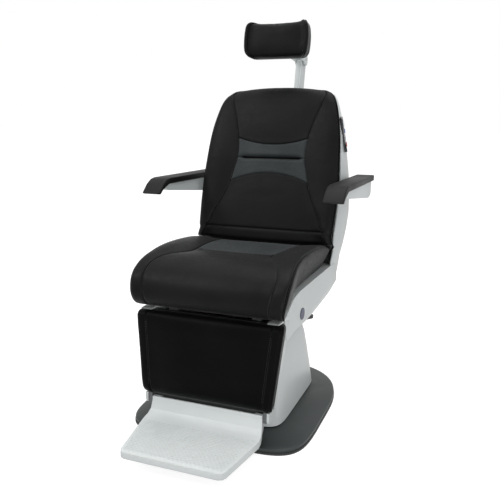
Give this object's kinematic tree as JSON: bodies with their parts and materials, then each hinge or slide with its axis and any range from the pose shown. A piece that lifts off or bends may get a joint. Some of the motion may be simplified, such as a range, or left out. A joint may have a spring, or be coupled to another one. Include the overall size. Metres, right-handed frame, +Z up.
{
  "type": "ophthalmic examination chair",
  "caption": "Powered examination chair with reclining cushioned back, tilting seat with rigid leg rest, flip-up foot rest and arms, sliding head rest and lifting column on a floor plate.",
  "frame": {"origin": "on the floor, on the swivel axis", "axes": "+Z up, the sitter faces -Y, +X is the sitter's left hand"},
  "size_m": [0.7, 1.2125, 1.3202],
  "materials": {
    "plate_steel": "matt",
    "base_charcoal": "satin",
    "seal_rubber": "matt",
    "bearing_steel": "ground",
    "ball_chrome": "polished",
    "black_plastic": "matt",
    "frame_paint": "matt",
    "column_aluminium": "satin",
    "cover_grey": "satin",
    "pan_wood": "bare",
    "hide_black": "fine grain",
    "trim_grey": "satin",
    "foot_grey": "satin",
    "arm_paint": "satin",
    "arm_rubber": "matt",
    "keypad_gloss": "gloss",
    "key_white": "satin",
    "key_red": "satin",
    "cap_grey": "satin"
  },
  "bodies": {
    "base": {"floor_plate": "plate_steel", "base_cover": "base_charcoal", "base_edge_seal": "seal_rubber", "swivel_ring_lower": "bearing_steel", "bearing_balls": "ball_chrome", "spindle": "bearing_steel", "power_inlet": "black_plastic"},
    "turntable": {"swivel_ring_upper": "bearing_steel", "turntable_plate": "frame_paint", "column_lower": "column_aluminium", "lift_actuator": "black_plastic", "inner_shroud": "black_plastic"},
    "column_stage": {"column_middle": "column_aluminium", "lift_tube_middle": "bearing_steel"},
    "carriage": {"column_upper": "column_aluminium", "lift_ram": "bearing_steel", "carriage_head": "frame_paint", "outer_shroud": "cover_grey", "tilt_actuator": "black_plastic", "tilt_shaft": "bearing_steel"},
    "lock_lever": {"swivel_lock_lever": "black_plastic"},
    "tilt_slider": {"tilt_rod": "bearing_steel"},
    "recline_slider": {"recline_rod": "bearing_steel"},
    "seat": {"seat_frame": "frame_paint", "seat_pan": "pan_wood", "seat_cushion": "hide_black", "side_panel_left": "cover_grey", "side_panel_right": "cover_grey", "under_cover": "cover_grey", "legrest_cushion": "hide_black", "legrest_trim": "trim_grey", "panel_caps": "cap_grey", "recline_actuator": "black_plastic", "seat_pins": "bearing_steel"},
    "foot_rest": {"footrest": "foot_grey"},
    "back": {"back_frame": "frame_paint", "back_shell": "cover_grey", "back_cushion": "hide_black", "post_housing": "cover_grey", "keypad_left": "keypad_gloss", "keypad_right": "keypad_gloss", "arm_pins": "bearing_steel"},
    "post": {"headrest_post": "arm_paint", "post_pin": "bearing_steel"},
    "link": {"headrest_link": "arm_paint", "headrest_pin": "bearing_steel"},
    "head_rest": {"headrest_shell": "black_plastic", "headrest_cushion": "hide_black"},
    "arm_left": {"arm_bracket_left": "arm_paint", "arm_pad_left": "arm_rubber"},
    "arm_right": {"arm_bracket_right": "arm_paint", "arm_pad_right": "arm_rubber"},
    "key_left_1": {"key_left_1": "key_red"},
    "key_left_2": {"key_left_2": "key_white"},
    "key_left_3": {"key_left_3": "key_white"},
    "key_left_4": {"key_left_4": "key_white"},
    "key_right_1": {"key_right_1": "key_red"},
    "key_right_2": {"key_right_2": "key_white"},
    "key_right_3": {"key_right_3": "key_white"},
    "key_right_4": {"key_right_4": "key_white"}
  },
  "joints": [
    {"name": "swivel", "type": "hinge", "parent": "base", "child": "turntable", "pos_m": [0, 0, 0.02], "axis": [0, 0, 1], "range_deg": [-165, 165]},
    {"name": "column_stage_slide", "type": "slide", "parent": "turntable", "child": "column_stage", "axis": [0, 0, 1], "range_m": [0, 0.11]},
    {"name": "lift", "type": "slide", "parent": "turntable", "child": "carriage", "axis": [0, 0, 1], "range_m": [0, 0.22]},
    {"name": "lock_lever_turn", "type": "hinge", "parent": "carriage", "child": "lock_lever", "pos_m": [0.128, 0.062, 0.282], "axis": [0, 0, 1], "range_deg": [-20, 20]},
    {"name": "tilt_rod_slide", "type": "slide", "parent": "carriage", "child": "tilt_slider", "axis": [0, -1, 0], "range_m": [0, 0.0137]},
    {"name": "seat_tilt", "type": "hinge", "parent": "carriage", "child": "seat", "pos_m": [0, 0.02, 0.362], "axis": [-1, 0, 0], "range_deg": [0, 15]},
    {"name": "recline_rod_slide", "type": "slide", "parent": "seat", "child": "recline_slider", "axis": [0, -1, 0], "range_m": [0, 0.0292]},
    {"name": "back_recline", "type": "hinge", "parent": "seat", "child": "back", "pos_m": [0, 0.238, 0.4], "axis": [-1, 0, 0], "range_deg": [0, 45]},
    {"name": "foot_rest_flip", "type": "hinge", "parent": "seat", "child": "foot_rest", "pos_m": [0, -0.31451, 0.11009], "axis": [-1, 0, 0], "range_deg": [0, 95]},
    {"name": "arm_left_flip", "type": "hinge", "parent": "back", "child": "arm_left", "pos_m": [-0.292, 0.385, 0.717], "axis": [-1, 0, 0], "range_deg": [0, 100]},
    {"name": "arm_right_flip", "type": "hinge", "parent": "back", "child": "arm_right", "pos_m": [0.292, 0.385, 0.717], "axis": [-1, 0, 0], "range_deg": [0, 100]},
    {"name": "post_slide", "type": "slide", "parent": "back", "child": "post", "axis": [0, 0.2419, 0.9703], "range_m": [-0.07, 0.07]},
    {"name": "link_hinge", "type": "hinge", "parent": "post", "child": "link", "pos_m": [0, 0.62, 1.207], "axis": [1, 0, 0], "range_deg": [-30, 20]},
    {"name": "head_rest_hinge", "type": "hinge", "parent": "link", "child": "head_rest", "pos_m": [0, 0.376, 1.24], "axis": [1, 0, 0], "range_deg": [-35, 35]},
    {"name": "key_left_1_press", "type": "slide", "parent": "back", "child": "key_left_1", "axis": [0.9727, -0.1541, -0.1736], "range_m": [0, 0.0008], "stiffness_N_per_m": 400, "springref_m": -0.001},
    {"name": "key_left_2_press", "type": "slide", "parent": "back", "child": "key_left_2", "axis": [0.9727, -0.1541, -0.1736], "range_m": [0, 0.0008], "stiffness_N_per_m": 400, "springref_m": -0.001},
    {"name": "key_left_3_press", "type": "slide", "parent": "back", "child": "key_left_3", "axis": [0.9727, -0.1541, -0.1736], "range_m": [0, 0.0008], "stiffness_N_per_m": 400, "springref_m": -0.001},
    {"name": "key_left_4_press", "type": "slide", "parent": "back", "child": "key_left_4", "axis": [0.9727, -0.1541, -0.1736], "range_m": [0, 0.0008], "stiffness_N_per_m": 400, "springref_m": -0.001},
    {"name": "key_right_1_press", "type": "slide", "parent": "back", "child": "key_right_1", "axis": [-0.9727, -0.1541, -0.1736], "range_m": [0, 0.0008], "stiffness_N_per_m": 400, "springref_m": -0.001},
    {"name": "key_right_2_press", "type": "slide", "parent": "back", "child": "key_right_2", "axis": [-0.9727, -0.1541, -0.1736], "range_m": [0, 0.0008], "stiffness_N_per_m": 400, "springref_m": -0.001},
    {"name": "key_right_3_press", "type": "slide", "parent": "back", "child": "key_right_3", "axis": [-0.9727, -0.1541, -0.1736], "range_m": [0, 0.0008], "stiffness_N_per_m": 400, "springref_m": -0.001},
    {"name": "key_right_4_press", "type": "slide", "parent": "back", "child": "key_right_4", "axis": [-0.9727, -0.1541, -0.1736], "range_m": [0, 0.0008], "stiffness_N_per_m": 400, "springref_m": -0.001}
  ],
  "couplings": [
    {"joint": "column_stage_slide", "follows": "lift", "ratio": 0.5},
    {"joint": "tilt_rod_slide", "follows": "seat_tilt", "m_per_rad": 0.0522},
    {"joint": "recline_rod_slide", "follows": "back_recline", "m_per_rad": 0.0371}
  ]
}
